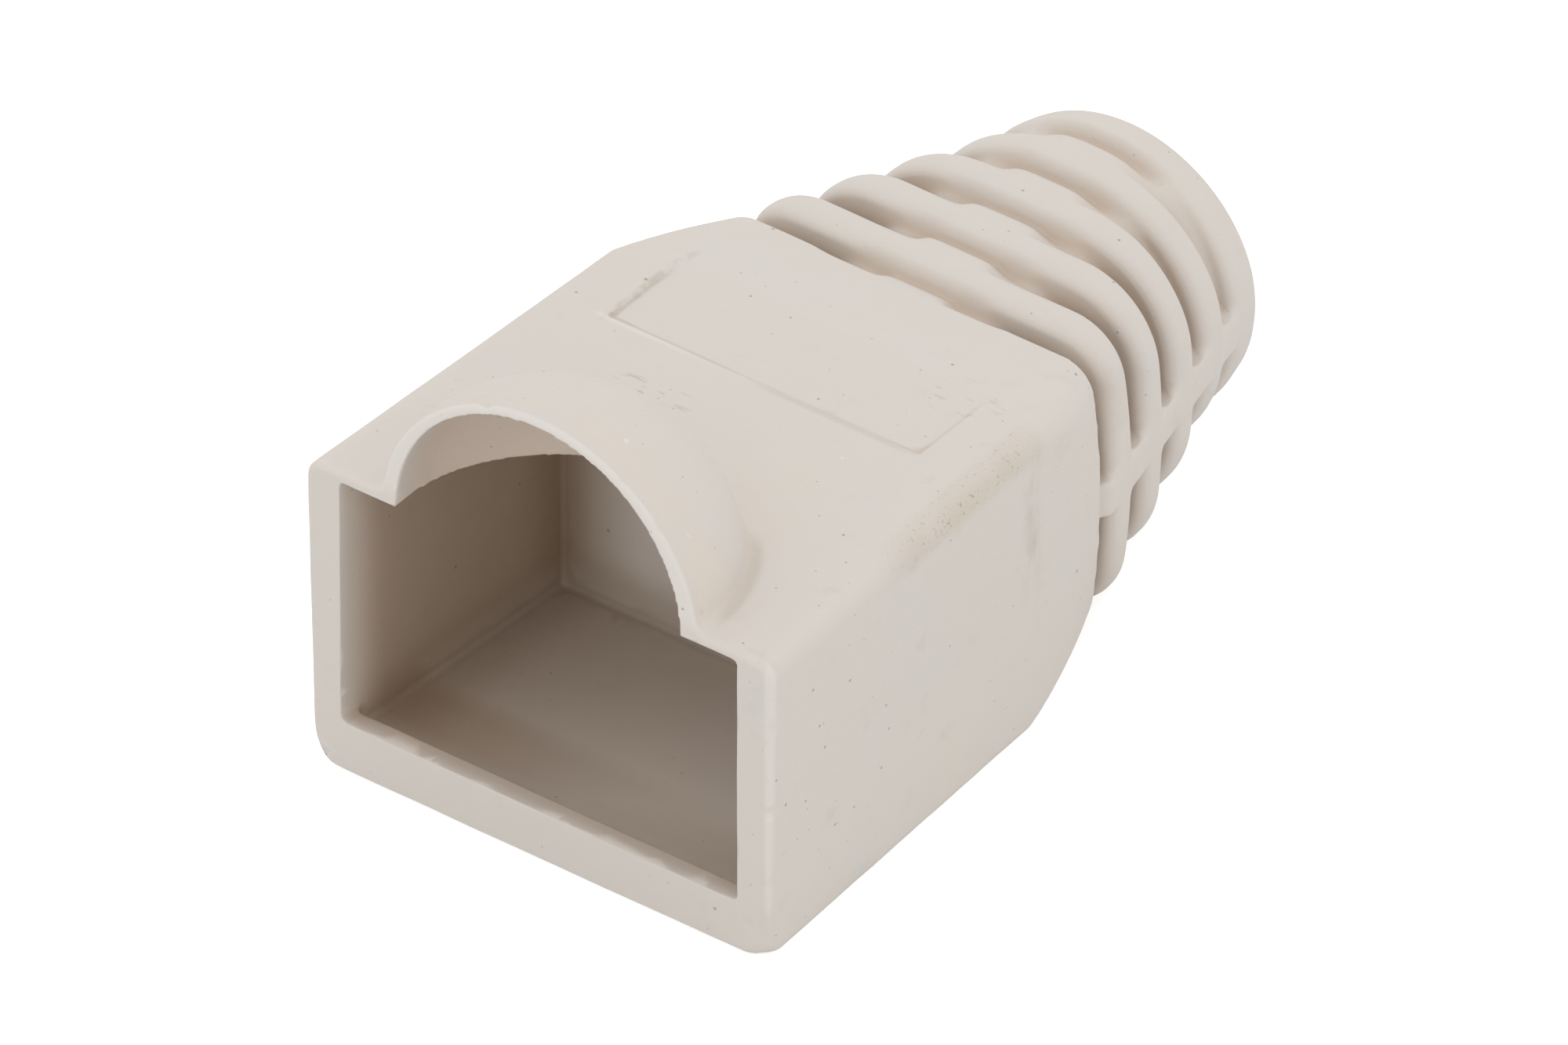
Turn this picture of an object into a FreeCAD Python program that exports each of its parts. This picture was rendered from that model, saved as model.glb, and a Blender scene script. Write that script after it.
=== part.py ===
"""Strain relief boot for a modular plug: one soft moulded piece.

Frame: X across the boot, Y from the mouth towards the cable, Z up.  While it is built, the mouth lies
in the plane y = 0; the finished body is moved so that its origin is the middle of its footprint.
"""
import FreeCAD, Part
import Sketcher
import math
import os

from FreeCAD import Vector

# Driving dimensions in millimetres, each one a cell of the sheet.
SIZES = {
    "total_length": 23.95,
    # socket that slips over the plug
    "mouth_half_low": 6.86,
    "mouth_half_high": 7.02,
    "socket_height": 8.98,
    "mouth_radius_low": 0.27,
    "mouth_radius_high": 0.55,
    "socket_length": 11.3,
    "socket_taper": 0.54,
    "socket_radius_high": 0.55,
    "underside_trim": 0.03,
    # neck between the socket and the ribs
    "neck_end": 14.85,
    "neck_half": 5.78,
    "neck_top": 8.42,
    "neck_bottom": 0.78,
    "neck_radius": 0.95,
    "neck_fullness": 0.02,
    "neck_flank": 22.0,
    # ribbed tail
    "tail_axis": 4.47,
    "rib_pitch": 1.8,
    "rib_width": 1.12,
    "rib_first": 16.0,
    "rib_half": 5.66,
    "rib_half_step": 0.41,
    "rib_rise": 4.08,
    "rib_rise_step": -0.01,
    "rib_radius": 1.62,
    "rib_radius_step": 0.78,
    "rib_flank": 15.0,
    "rib_round": 0.52,
    "ring_start": 22.5,
    "ring_axis": 4.35,
    "ring_radius": 4.2,
    "ring_end_radius": 3.86,
    "core_half": 3.45,
    "core_rise": 3.8,
    "core_overlap": 0.5,
    "spine_half_front": 5.75,
    "spine_half_back": 3.9,
    "spine_height": 1.05,
    "spine_axis": 4.32,
    "web_half": 0.95,
    "web_top_front": 8.4,
    "web_top_back": 8.2,
    "web_low_front": 0.55,
    "web_low_back": 0.75,
    "cable_bore": 5.6,
    # room for the plug
    "pocket_half": 5.95,
    "pocket_half_back": 5.48,
    "pocket_floor": 1.0,
    "pocket_roof": 8.68,
    "pocket_radius": 0.12,
    "pocket_depth": 8.2,
    "sill_depth": 0.62,
    "sill_top": 1.54,
    # hood over the latch of the plug
    "hood_reach": 0.47,
    "hood_radius": 4.8,
    "hood_axis": 8.41,
    "hollow_reach": 0.5,
    "hood_hollow": 4.24,
    "hood_crease": 0.3,
    # label recess
    "label_half": 4.7,
    "label_start": 8.95,
    "label_length": 3.2,
    "label_depth": 0.1,
    # softened edges
    "rim_break": 0.13,
}
RIB_COUNT = 4
NEAR = 1e-4
# Shares of a round's radius that two chamfers in a row take, so that each new face touches the round.
FIRST_BREAK = 1 - math.tan(math.pi / 8)
SECOND_BREAK = math.tan(math.pi / 8) - math.tan(math.pi / 16)

document = FreeCAD.newDocument("boot")


def make_sheet():
    """The spreadsheet that holds the driving dimensions."""
    sheet = document.addObject("Spreadsheet::Sheet", "sizes")
    for row, (alias, value) in enumerate(SIZES.items(), start=1):
        sheet.set(f"A{row}", alias)
        sheet.set(f"B{row}", str(value))
        sheet.setAlias(f"B{row}", alias)
    document.recompute()
    return sheet


def origin_plane(body, role):
    """One of the body's own origin planes."""
    return next(item for item in body.Origin.OriginFeatures if item.Role == role)


def new_sketch(body, name, role, offset=None):
    """An empty sketch on an origin plane, shifted along the plane's normal by an expression."""
    sketch = body.newObject("Sketcher::SketchObject", name)
    sketch.AttachmentSupport = [(origin_plane(body, role), "")]
    sketch.MapMode = "FlatFace"
    if offset:
        sketch.setExpression("AttachmentOffset.Base.z", offset)
    document.recompute()
    return sketch


def value(formula):
    """A formula's present value, used to draw a sketch close to its final size."""
    return float(sheet.evalExpression(formula))


def drive(sketch, constraint, formula):
    """Add a dimension to a sketch and bind it to a formula of the sheet's cells."""
    index = sketch.addConstraint(constraint)
    sketch.setExpression(f"Constraints[{index}]", formula)


def rounded_section(body, name, station, half_low, half_high, low, high, radius_low, radius_high):
    """A four-sided outline with rounded corners across the boot, at a station along Y.

    The top and the bottom are level, the sides may lean, and every size is a formula of the sheet's cells.
    """
    sketch = new_sketch(body, name, "XZ_Plane", f"-({station})")
    a_low, a_high, z_low, z_high = value(half_low), value(half_high), value(low), value(high)
    r_low, r_high = value(radius_low), value(radius_high)
    lines = [
        (Vector(-a_low + r_low, z_low), Vector(a_low - r_low, z_low)),
        (Vector(a_low, z_low + r_low), Vector(a_high, z_high - r_high)),
        (Vector(a_high - r_high, z_high), Vector(-a_high + r_high, z_high)),
        (Vector(-a_high, z_high - r_high), Vector(-a_low, z_low + r_low)),
    ]
    corners = [
        (Vector(a_low - r_low, z_low + r_low), r_low, 270),
        (Vector(a_high - r_high, z_high - r_high), r_high, 0),
        (Vector(-a_high + r_high, z_high - r_high), r_high, 90),
        (Vector(-a_low + r_low, z_low + r_low), r_low, 180),
    ]
    for start, end in lines:
        sketch.addGeometry(Part.LineSegment(start, end), False)
    for centre, radius, turn in corners:
        circle = Part.Circle(centre, Vector(0, 0, 1), radius)
        sketch.addGeometry(Part.ArcOfCircle(circle, math.radians(turn), math.radians(turn + 90)), False)
    for side in range(4):
        sketch.addConstraint(Sketcher.Constraint("Tangent", side, 2, 4 + side, 1))
        sketch.addConstraint(Sketcher.Constraint("Tangent", 4 + side, 2, (side + 1) % 4, 1))
    sketch.addConstraint(Sketcher.Constraint("Symmetric", 0, 1, 0, 2, -2))
    sketch.addConstraint(Sketcher.Constraint("Symmetric", 2, 1, 2, 2, -2))
    sketch.addConstraint(Sketcher.Constraint("Equal", 4, 7))
    sketch.addConstraint(Sketcher.Constraint("Equal", 5, 6))
    sizes = [
        (Sketcher.Constraint("Radius", 4, r_low), radius_low),
        (Sketcher.Constraint("Radius", 5, r_high), radius_high),
        (Sketcher.Constraint("DistanceX", -1, 1, 1, 1, a_low), half_low),
        (Sketcher.Constraint("DistanceX", -1, 1, 1, 2, a_high), half_high),
        (Sketcher.Constraint("DistanceY", -1, 1, 2, 1, z_high), high),
    ]
    if abs(z_low) > 1e-6:
        sizes.append((Sketcher.Constraint("DistanceY", -1, 1, 0, 1, z_low), low))
    else:
        sketch.addConstraint(Sketcher.Constraint("PointOnObject", 0, 1, -1))
    for constraint, formula in sizes:
        drive(sketch, constraint, formula)
    document.recompute()
    return sketch


def barrel_section(body, name, station, half, low, high, corner, side):
    """A level-topped outline across the boot whose two sides bulge out as arcs of the side radius."""
    sketch = new_sketch(body, name, "XZ_Plane", f"-({station})")
    wide, z_low, z_high = value(half), value(low), value(high)
    flank, r = value(side), value(corner)
    middle = (z_low + z_high) / 2
    rise = z_high - r - middle
    run = math.sqrt((flank - r) ** 2 - rise**2)
    inner = wide - flank + run
    lean = math.degrees(math.atan2(rise, run))
    upright = 90 - lean
    sketch.addGeometry(Part.LineSegment(Vector(-inner, z_low), Vector(inner, z_low)), False)
    sketch.addGeometry(Part.LineSegment(Vector(inner, z_high), Vector(-inner, z_high)), False)
    arcs = [
        (Vector(inner, z_low + r), r, 270, upright),
        (Vector(wide - flank, middle), flank, 360 - lean, 2 * lean),
        (Vector(inner, z_high - r), r, lean, upright),
        (Vector(-inner, z_high - r), r, 90, upright),
        (Vector(flank - wide, middle), flank, 180 - lean, 2 * lean),
        (Vector(-inner, z_low + r), r, 180 + lean, upright),
    ]
    for centre, radius, turn, sweep in arcs:
        circle = Part.Circle(centre, Vector(0, 0, 1), radius)
        arc = Part.ArcOfCircle(circle, math.radians(turn), math.radians(turn + sweep))
        sketch.addGeometry(arc, False)
    round_trip = [0, 2, 3, 4, 1, 5, 6, 7]
    for place, edge in enumerate(round_trip):
        after = round_trip[(place + 1) % len(round_trip)]
        sketch.addConstraint(Sketcher.Constraint("Tangent", edge, 2, after, 1))
    sketch.addConstraint(Sketcher.Constraint("Symmetric", 0, 1, 0, 2, -2))
    sketch.addConstraint(Sketcher.Constraint("Symmetric", 1, 1, 1, 2, -2))
    for twin in (4, 5, 7):
        sketch.addConstraint(Sketcher.Constraint("Equal", 2, twin))
    sketch.addConstraint(Sketcher.Constraint("Equal", 3, 6))
    drive(sketch, Sketcher.Constraint("Radius", 2, r), corner)
    drive(sketch, Sketcher.Constraint("Radius", 3, flank), side)
    centre_reach = Sketcher.Constraint("DistanceX", 3, 3, -1, 1, flank - wide)
    drive(sketch, centre_reach, f"{side} - ({half})")
    drive(sketch, Sketcher.Constraint("DistanceY", -1, 1, 0, 1, z_low), low)
    drive(sketch, Sketcher.Constraint("DistanceY", -1, 1, 1, 1, z_high), high)
    document.recompute()
    return sketch


def loft(body, name, sections, ruled, kind="PartDesign::AdditiveLoft"):
    """A loft through sections in their order along the boot."""
    feature = body.newObject(kind, name)
    feature.Profile = sections[0]
    feature.Sections = [(section, [""]) for section in sections[1:]]
    feature.Ruled = ruled
    document.recompute()
    return feature


def pad(body, name, sketch, formula, way):
    """A pad of a sketch: "along" or "against" its normal, or "both" ways by half."""
    feature = body.newObject("PartDesign::Pad", name)
    feature.Profile = sketch
    feature.setExpression("Length", formula)
    feature.Reversed = way == "against"
    feature.SideType = "Symmetric" if way == "both" else "One side"
    document.recompute()
    return feature


def dress_edges(body, kind, name, base, size, formula, chosen):
    """A chamfer or fillet on the edges of a feature that the test picks."""
    feature = body.newObject(kind, name)
    names = [f"Edge{n}" for n, edge in enumerate(base.Shape.Edges, start=1) if chosen(edge)]
    feature.Base = (base, names)
    feature.setExpression(size, formula)
    document.recompute()
    return feature


def break_edges(body, name, base, formula, chosen):
    """A chamfer on the edges that the test picks."""
    return dress_edges(body, "PartDesign::Chamfer", name, base, "Size", formula, chosen)


def round_edges(body, name, base, formula, chosen):
    """A round on the edges that the test picks, made as a chamfer whose two new edges are broken again.

    Both chamfers touch the round's circle, so the result stays within a fiftieth of its radius and
    needs a small share of the facets that a rolling-ball fillet takes.
    """
    first = break_edges(body, f"{name}_first", base, f"{formula} * {FIRST_BREAK:.4f}", chosen)
    old = [middle_of(edge) for edge in base.Shape.Edges]

    def fresh(edge):
        middle = middle_of(edge)
        return level(edge) and all(middle.distanceToPoint(other) > NEAR for other in old)

    return break_edges(body, f"{name}_second", first, f"{formula} * {SECOND_BREAK:.4f}", fresh)


def middle_of(edge):
    """The point halfway along an edge."""
    return edge.valueAt((edge.FirstParameter + edge.LastParameter) / 2)


def level(edge):
    """Whether an edge lies in a plane across the boot or in a level one."""
    return min(edge.BoundBox.YLength, edge.BoundBox.ZLength) < NEAR


def in_plane(edge, station):
    """Whether an edge lies wholly in the cross plane at a station along Y."""
    box = edge.BoundBox
    return abs(box.YMin - station) < NEAR and abs(box.YMax - station) < NEAR


def make_neck(body):
    """The neck, which draws in from all sides but stays fuller underneath."""
    shoulder = rounded_section(
        body, "shoulder_section", "sizes.socket_length",
        "sizes.mouth_half_low - sizes.socket_taper", "sizes.mouth_half_high - sizes.socket_taper",
        "-sizes.underside_trim", "sizes.socket_height", "sizes.mouth_radius_low", "sizes.socket_radius_high",
    )
    middle = "(sizes.socket_length + sizes.neck_end) / 2"
    half = "(sizes.{} - sizes.socket_taper + sizes.neck_half) / 2 + sizes.neck_fullness"
    waist = rounded_section(
        body, "waist_section", middle,
        half.format("mouth_half_low"), half.format("mouth_half_high"),
        "sizes.neck_bottom / 2 - sizes.neck_fullness", "(sizes.socket_height + sizes.neck_top) / 2",
        "(sizes.mouth_radius_low + sizes.neck_radius) / 2",
        "(sizes.socket_radius_high + sizes.neck_radius) / 2",
    )
    end = barrel_section(
        body, "neck_section", "sizes.neck_end", "sizes.neck_half",
        "sizes.neck_bottom", "sizes.neck_top", "sizes.neck_radius", "sizes.neck_flank",
    )
    loft(body, "neck", [shoulder, waist, end], False)
    return shoulder


def make_socket(body, shoulder):
    """The four-walled socket's outside, a slight taper from the mouth to the neck."""
    mouth = rounded_section(
        body, "mouth_section", "0", "sizes.mouth_half_low", "sizes.mouth_half_high",
        "-sizes.underside_trim", "sizes.socket_height", "sizes.mouth_radius_low", "sizes.mouth_radius_high",
    )
    loft(body, "socket", [mouth, shoulder], True)
    sheared = new_sketch(body, "underside_outline", "XY_Plane")
    corner = (value("sizes.mouth_half_high"), value("sizes.neck_end"))
    box_lines(sheared, [(-corner[0], 0), (corner[0], 0), (corner[0], corner[1]), (-corner[0], corner[1])])
    drive(sheared, Sketcher.Constraint("DistanceX", -1, 1, 0, 2, corner[0]), "sizes.mouth_half_high")
    drive(sheared, Sketcher.Constraint("DistanceY", -1, 1, 2, 1, corner[1]), "sizes.neck_end")
    sheared.addConstraint(Sketcher.Constraint("PointOnObject", 0, 1, -1))
    trim = body.newObject("PartDesign::Pocket", "underside")
    trim.Profile = sheared
    trim.setExpression("Length", "sizes.underside_trim * 2")
    document.recompute()
    return trim


def make_core(body):
    """The oval tube under the ribs, as far as the end ring."""
    sketch = new_sketch(body, "core_section", "XZ_Plane", "-(sizes.neck_end - sizes.core_overlap)")
    half, rise, axis = value("sizes.core_half"), value("sizes.core_rise"), value("sizes.tail_axis")
    centre = Vector(0, axis)
    oval = Part.Ellipse(centre + Vector(0, rise), centre + Vector(half, 0), centre)
    ring = sketch.addGeometry(oval, False)
    sketch.exposeInternalGeometry(ring)
    major, minor = ring + 1, ring + 2
    sketch.addConstraint(Sketcher.Constraint("PointOnObject", ring, 3, -2))
    sketch.addConstraint(Sketcher.Constraint("Vertical", major))
    drive(sketch, Sketcher.Constraint("DistanceY", -1, 1, ring, 3, axis), "sizes.tail_axis")
    drive(sketch, Sketcher.Constraint("Distance", major, 2 * rise), "2 * sizes.core_rise")
    drive(sketch, Sketcher.Constraint("Distance", minor, 2 * half), "2 * sizes.core_half")
    pad(body, "core", sketch, "sizes.ring_start - sizes.neck_end + 2 * sizes.core_overlap", "against")


def make_rib(body, number):
    """One rib: a rounded outline that turns from four-sided to round along the tail."""
    station = f"(sizes.rib_first + {number} * sizes.rib_pitch - sizes.rib_width / 2)"
    half = f"sizes.rib_half - {number} * sizes.rib_half_step"
    rise = f"(sizes.rib_rise + {number} * sizes.rib_rise_step)"
    radius = f"sizes.rib_radius + {number} * sizes.rib_radius_step"
    section = barrel_section(
        body, f"rib_{number + 1}_section", station, half,
        f"sizes.tail_axis - {rise}", f"sizes.tail_axis + {rise}", radius, "sizes.rib_flank",
    )
    return pad(body, f"rib_{number + 1}", section, "sizes.rib_width", "against")


def disc(body, name, station, axis_formula, formula):
    """A circle sketch about the tail's axis."""
    sketch = new_sketch(body, name, "XZ_Plane", f"-({station})")
    axis, radius = value(axis_formula), value(formula)
    ring = sketch.addGeometry(Part.Circle(Vector(0, axis), Vector(0, 0, 1), radius), False)
    sketch.addConstraint(Sketcher.Constraint("PointOnObject", ring, 3, -2))
    drive(sketch, Sketcher.Constraint("DistanceY", -1, 1, ring, 3, axis), axis_formula)
    drive(sketch, Sketcher.Constraint("Radius", ring, radius), formula)
    document.recompute()
    return sketch


def box_lines(sketch, corners):
    """Four joined lines through the corners in their order, mirrored about the sketch's upright axis."""
    points = [Vector(*corner) for corner in corners]
    for corner in range(4):
        sketch.addGeometry(Part.LineSegment(points[corner], points[(corner + 1) % 4]), False)
    for corner in range(4):
        sketch.addConstraint(Sketcher.Constraint("Coincident", corner, 2, (corner + 1) % 4, 1))
    sketch.addConstraint(Sketcher.Constraint("Symmetric", 0, 1, 0, 2, -2))
    sketch.addConstraint(Sketcher.Constraint("Symmetric", 2, 1, 2, 2, -2))


def make_spines(body):
    """The flush web along each side, which ties the ribs together and splits the grooves."""
    sketch = new_sketch(body, "spine_outline", "XY_Plane", "sizes.spine_axis")
    front, rear = "sizes.neck_end - sizes.core_overlap", "sizes.ring_start + sizes.core_overlap"
    start, end = value(front), value(rear)
    wide, slim = value("sizes.spine_half_front"), value("sizes.spine_half_back")
    box_lines(sketch, [(-wide, start), (wide, start), (slim, end), (-slim, end)])
    drive(sketch, Sketcher.Constraint("DistanceY", -1, 1, 0, 1, start), front)
    drive(sketch, Sketcher.Constraint("DistanceY", -1, 1, 2, 1, end), rear)
    drive(sketch, Sketcher.Constraint("DistanceX", 0, 1, 0, 2, 2 * wide), "2 * sizes.spine_half_front")
    drive(sketch, Sketcher.Constraint("DistanceX", 2, 2, 2, 1, 2 * slim), "2 * sizes.spine_half_back")
    pad(body, "spines", sketch, "sizes.spine_height", "both")


def quadrilateral(body, name, corners):
    """Four lines in the plane of symmetry, their corners given as pairs of formulas along Y and Z."""
    sketch = new_sketch(body, name, "YZ_Plane")
    points = [Vector(value(along), value(height)) for along, height in corners]
    for corner, point in enumerate(points):
        sketch.addGeometry(Part.LineSegment(point, points[(corner + 1) % 4]), False)
    for corner in range(4):
        sketch.addConstraint(Sketcher.Constraint("Coincident", corner, 2, (corner + 1) % 4, 1))
    for corner, (along, height) in enumerate(corners):
        drive(sketch, Sketcher.Constraint("DistanceX", -1, 1, corner, 1, points[corner].x), along)
        drive(sketch, Sketcher.Constraint("DistanceY", -1, 1, corner, 1, points[corner].y), height)
    document.recompute()
    return sketch


def make_webs(body):
    """The narrow webs along the top and the bottom, which leave the grooves shallow there."""
    start, end = "sizes.neck_end - sizes.core_overlap", "sizes.ring_start + sizes.core_overlap"
    outline = quadrilateral(body, "web_outline", [
        (start, "sizes.web_low_front"), (end, "sizes.web_low_back"),
        (end, "sizes.web_top_back"), (start, "sizes.web_top_front"),
    ])
    pad(body, "webs", outline, "2 * sizes.web_half", "both")


def hood_profile(body, name, axis_formula, reach_formula, formula):
    """Half the outline of a round-nosed hood on its centre line: a straight run and a quarter circle."""
    sketch = new_sketch(body, name, "YZ_Plane")
    reach, radius, axis = value(reach_formula), value(formula), value(axis_formula)
    front, crest = Vector(0, axis), Vector(0, axis + radius)
    shoulder, tip = Vector(reach, axis + radius), Vector(reach + radius, axis)
    sketch.addGeometry(Part.LineSegment(front, crest), False)
    sketch.addGeometry(Part.LineSegment(crest, shoulder), False)
    nose = Part.Circle(Vector(reach, axis), Vector(0, 0, 1), radius)
    sketch.addGeometry(Part.ArcOfCircle(nose, 0, math.pi / 2), False)
    sketch.addGeometry(Part.LineSegment(tip, front), False)
    sketch.addConstraint(Sketcher.Constraint("Coincident", 0, 2, 1, 1))
    sketch.addConstraint(Sketcher.Constraint("Tangent", 1, 2, 2, 2))
    sketch.addConstraint(Sketcher.Constraint("Coincident", 2, 1, 3, 1))
    sketch.addConstraint(Sketcher.Constraint("Coincident", 3, 2, 0, 1))
    sketch.addConstraint(Sketcher.Constraint("PointOnObject", 0, 1, -2))
    sketch.addConstraint(Sketcher.Constraint("Vertical", 0))
    sketch.addConstraint(Sketcher.Constraint("Horizontal", 1))
    sketch.addConstraint(Sketcher.Constraint("Horizontal", 3))
    sketch.addConstraint(Sketcher.Constraint("PointOnObject", 2, 3, 3))
    drive(sketch, Sketcher.Constraint("DistanceX", 1, 1, 1, 2, reach), reach_formula)
    drive(sketch, Sketcher.Constraint("DistanceY", -1, 1, 0, 1, axis), axis_formula)
    drive(sketch, Sketcher.Constraint("Radius", 2, radius), formula)
    document.recompute()
    return sketch


def revolve(body, kind, name, profile):
    """A full turn of a profile about its own base line."""
    feature = body.newObject(kind, name)
    feature.Profile = profile
    feature.ReferenceAxis = (profile, ["Edge4"])
    feature.Angle = 360
    document.recompute()
    return feature


def rectangle(body, name, station, half, low, high):
    """A rectangle across the boot, level and centred, at a station along Y."""
    sketch = new_sketch(body, name, "XZ_Plane", f"-({station})")
    wide, z_low, z_high = value(half), value(low), value(high)
    box_lines(sketch, [(-wide, z_low), (wide, z_low), (wide, z_high), (-wide, z_high)])
    sketch.addConstraint(Sketcher.Constraint("Vertical", 1))
    drive(sketch, Sketcher.Constraint("DistanceX", -1, 1, 0, 2, wide), half)
    drive(sketch, Sketcher.Constraint("DistanceY", -1, 1, 0, 1, z_low), low)
    drive(sketch, Sketcher.Constraint("DistanceY", -1, 1, 2, 1, z_high), high)
    document.recompute()
    return sketch


def make_pocket(body):
    """The plug's room: a box that narrows to the back, with a raised sill inside the mouth."""
    roof, floor = "sizes.pocket_roof", "sizes.pocket_floor"
    corner = "sizes.pocket_radius"
    wide, slim = "sizes.pocket_half", "sizes.pocket_half_back"
    front = rounded_section(body, "pocket_front", "0", wide, wide, floor, roof, corner, corner)
    back = rounded_section(
        body, "pocket_back", "sizes.pocket_depth", slim, slim, floor, roof, corner, corner
    )
    loft(body, "plug_pocket", [front, back], True, "PartDesign::SubtractiveLoft")
    sill = rectangle(body, "sill_section", "0", "sizes.pocket_half + 0.2", "sizes.pocket_floor - 0.2",
                     "sizes.sill_top")
    pad(body, "sill", sill, "sizes.sill_depth", "against")


def make_bore(body):
    """The cable's round hole, from the end ring to the back of the plug's room."""
    mouth = disc(body, "bore_mouth", "sizes.total_length", "sizes.tail_axis", "sizes.cable_bore / 2")
    bore = body.newObject("PartDesign::Pocket", "cable_bore")
    bore.Profile = mouth
    bore.setExpression("Length", "sizes.total_length - sizes.pocket_depth + 0.5")
    bore.Reversed = True
    document.recompute()


def make_label_recess(body):
    """A shallow bare rectangle on the top, which runs out where the neck slopes away."""
    sketch = new_sketch(body, "label_outline", "XY_Plane", "sizes.socket_height - sizes.label_depth")
    rear = "sizes.label_start + sizes.label_length"
    wide, start, end = value("sizes.label_half"), value("sizes.label_start"), value(rear)
    box_lines(sketch, [(-wide, start), (wide, start), (wide, end), (-wide, end)])
    sketch.addConstraint(Sketcher.Constraint("Vertical", 1))
    drive(sketch, Sketcher.Constraint("DistanceX", -1, 1, 0, 2, wide), "sizes.label_half")
    drive(sketch, Sketcher.Constraint("DistanceY", -1, 1, 0, 1, start), "sizes.label_start")
    drive(sketch, Sketcher.Constraint("DistanceY", -1, 1, 2, 1, end), rear)
    recess = body.newObject("PartDesign::Pocket", "label_recess")
    recess.Profile = sketch
    recess.setExpression("Length", "sizes.label_depth + 0.5")
    recess.Reversed = True
    document.recompute()
    return recess


def make_ribs(body):
    """The ribs and the end ring, each rounded on its own."""
    for number in range(RIB_COUNT):
        make_rib(body, number)
    axis = "sizes.ring_axis"
    profile = quadrilateral(body, "ring_profile", [
        ("sizes.ring_start", axis), ("sizes.ring_start", f"{axis} + sizes.ring_radius"),
        ("sizes.total_length", f"{axis} + sizes.ring_end_radius"), ("sizes.total_length", axis),
    ])
    ring = revolve(body, "PartDesign::Revolution", "end_ring", profile)
    round_edges(body, "rib_rounding", ring, "sizes.rib_round", lambda edge: edge.BoundBox.YLength < NEAR)


def make_hood(body):
    """The round-nosed hood that rises over the plug's latch, with a soft crease where it meets the top."""
    profile = hood_profile(body, "hood_profile", "sizes.hood_axis", "sizes.hood_reach", "sizes.hood_radius")
    hood = revolve(body, "PartDesign::Revolution", "hood", profile)
    top, forward = value("sizes.socket_height"), value("sizes.hood_reach")
    reach = value("sizes.hood_radius + 0.5")

    def at_foot(edge):
        box = edge.BoundBox
        on_top = abs(box.ZMin - top) < NEAR and box.ZLength < NEAR
        return on_top and max(-box.XMin, box.XMax) < reach and box.YMax < reach + forward

    dress_edges(body, "PartDesign::Fillet", "hood_crease", hood, "Radius", "sizes.hood_crease", at_foot)


def break_rim(body, base):
    """Take the edge off the outer rim of the mouth."""
    half, roof = value("sizes.pocket_half"), value("sizes.pocket_roof")
    between = value("(sizes.hood_radius + sizes.hood_hollow) / 2")

    def outside(edge):
        middle = middle_of(edge)
        if middle.z > roof + NEAR:
            return math.hypot(middle.x, middle.z - roof) > between
        return abs(middle.x) > half + NEAR or middle.z < value("sizes.pocket_floor")

    break_edges(
        body, "mouth_rim", base, "sizes.rim_break", lambda edge: in_plane(edge, 0) and outside(edge)
    )


sheet = make_sheet()
boot = document.addObject("PartDesign::Body", "boot")
boot.Label = "boot"
document.recompute()

make_ribs(boot)
make_spines(boot)
make_webs(boot)
make_core(boot)
shoulder = make_neck(boot)
make_socket(boot, shoulder)
make_hood(boot)
make_pocket(boot)
hollow_profile = hood_profile(
    boot, "hollow_profile", "sizes.pocket_roof", "sizes.hollow_reach", "sizes.hood_hollow"
)
revolve(boot, "PartDesign::Groove", "hood_hollow", hollow_profile)
make_bore(boot)
recess = make_label_recess(boot)
break_rim(boot, recess)
boot.setExpression("Placement.Base.y", "-sizes.total_length / 2")
document.recompute()

for item in boot.Group:
    if "Invalid" in item.State or "Error" in item.State:
        raise RuntimeError(f"{item.Name} did not build")
if boot.Shape.isNull() or not boot.Shape.isValid() or len(boot.Shape.Solids) != 1:
    raise RuntimeError("the boot is not one valid solid")
os.makedirs("parts", exist_ok=True)
boot.Shape.exportStep(f"parts/{boot.Label}.step")
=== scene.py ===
# %% [markdown]
# # A strain relief boot in soft PVC
# This boot is one piece of soft grey PVC, injection moulded over a steel core.
# It slides over a cable plug and stops the cable from bending sharply where it leaves.
# The solid comes from the CAD frame and keeps its size and place here.
# Blender gives it what a drawing has no room for: edges gone soft in the mould, a skin
# that is never quite even, and the grit and rub marks of a part that has been handled.

# %% Load the frame
import math

import bpy
import numpy as np
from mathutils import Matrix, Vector


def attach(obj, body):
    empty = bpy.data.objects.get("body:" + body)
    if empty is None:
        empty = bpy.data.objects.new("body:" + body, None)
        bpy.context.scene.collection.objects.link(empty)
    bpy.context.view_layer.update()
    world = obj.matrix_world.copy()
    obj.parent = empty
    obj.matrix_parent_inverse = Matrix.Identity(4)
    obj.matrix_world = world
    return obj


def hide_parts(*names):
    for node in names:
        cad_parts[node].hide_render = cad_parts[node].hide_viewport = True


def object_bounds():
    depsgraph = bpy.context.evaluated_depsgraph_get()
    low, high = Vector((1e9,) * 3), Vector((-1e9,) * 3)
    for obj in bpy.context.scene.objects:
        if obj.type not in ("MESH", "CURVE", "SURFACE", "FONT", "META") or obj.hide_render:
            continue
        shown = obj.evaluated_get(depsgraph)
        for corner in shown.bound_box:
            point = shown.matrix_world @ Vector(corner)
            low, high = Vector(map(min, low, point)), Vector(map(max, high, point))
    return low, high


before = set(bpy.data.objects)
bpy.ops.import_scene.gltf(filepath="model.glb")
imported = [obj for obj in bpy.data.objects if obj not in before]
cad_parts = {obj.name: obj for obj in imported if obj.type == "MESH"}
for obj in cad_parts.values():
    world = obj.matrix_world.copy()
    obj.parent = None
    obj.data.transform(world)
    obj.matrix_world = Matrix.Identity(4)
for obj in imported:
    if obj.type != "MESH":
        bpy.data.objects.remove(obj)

MM = 0.001
cad_low, cad_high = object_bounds()
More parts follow.
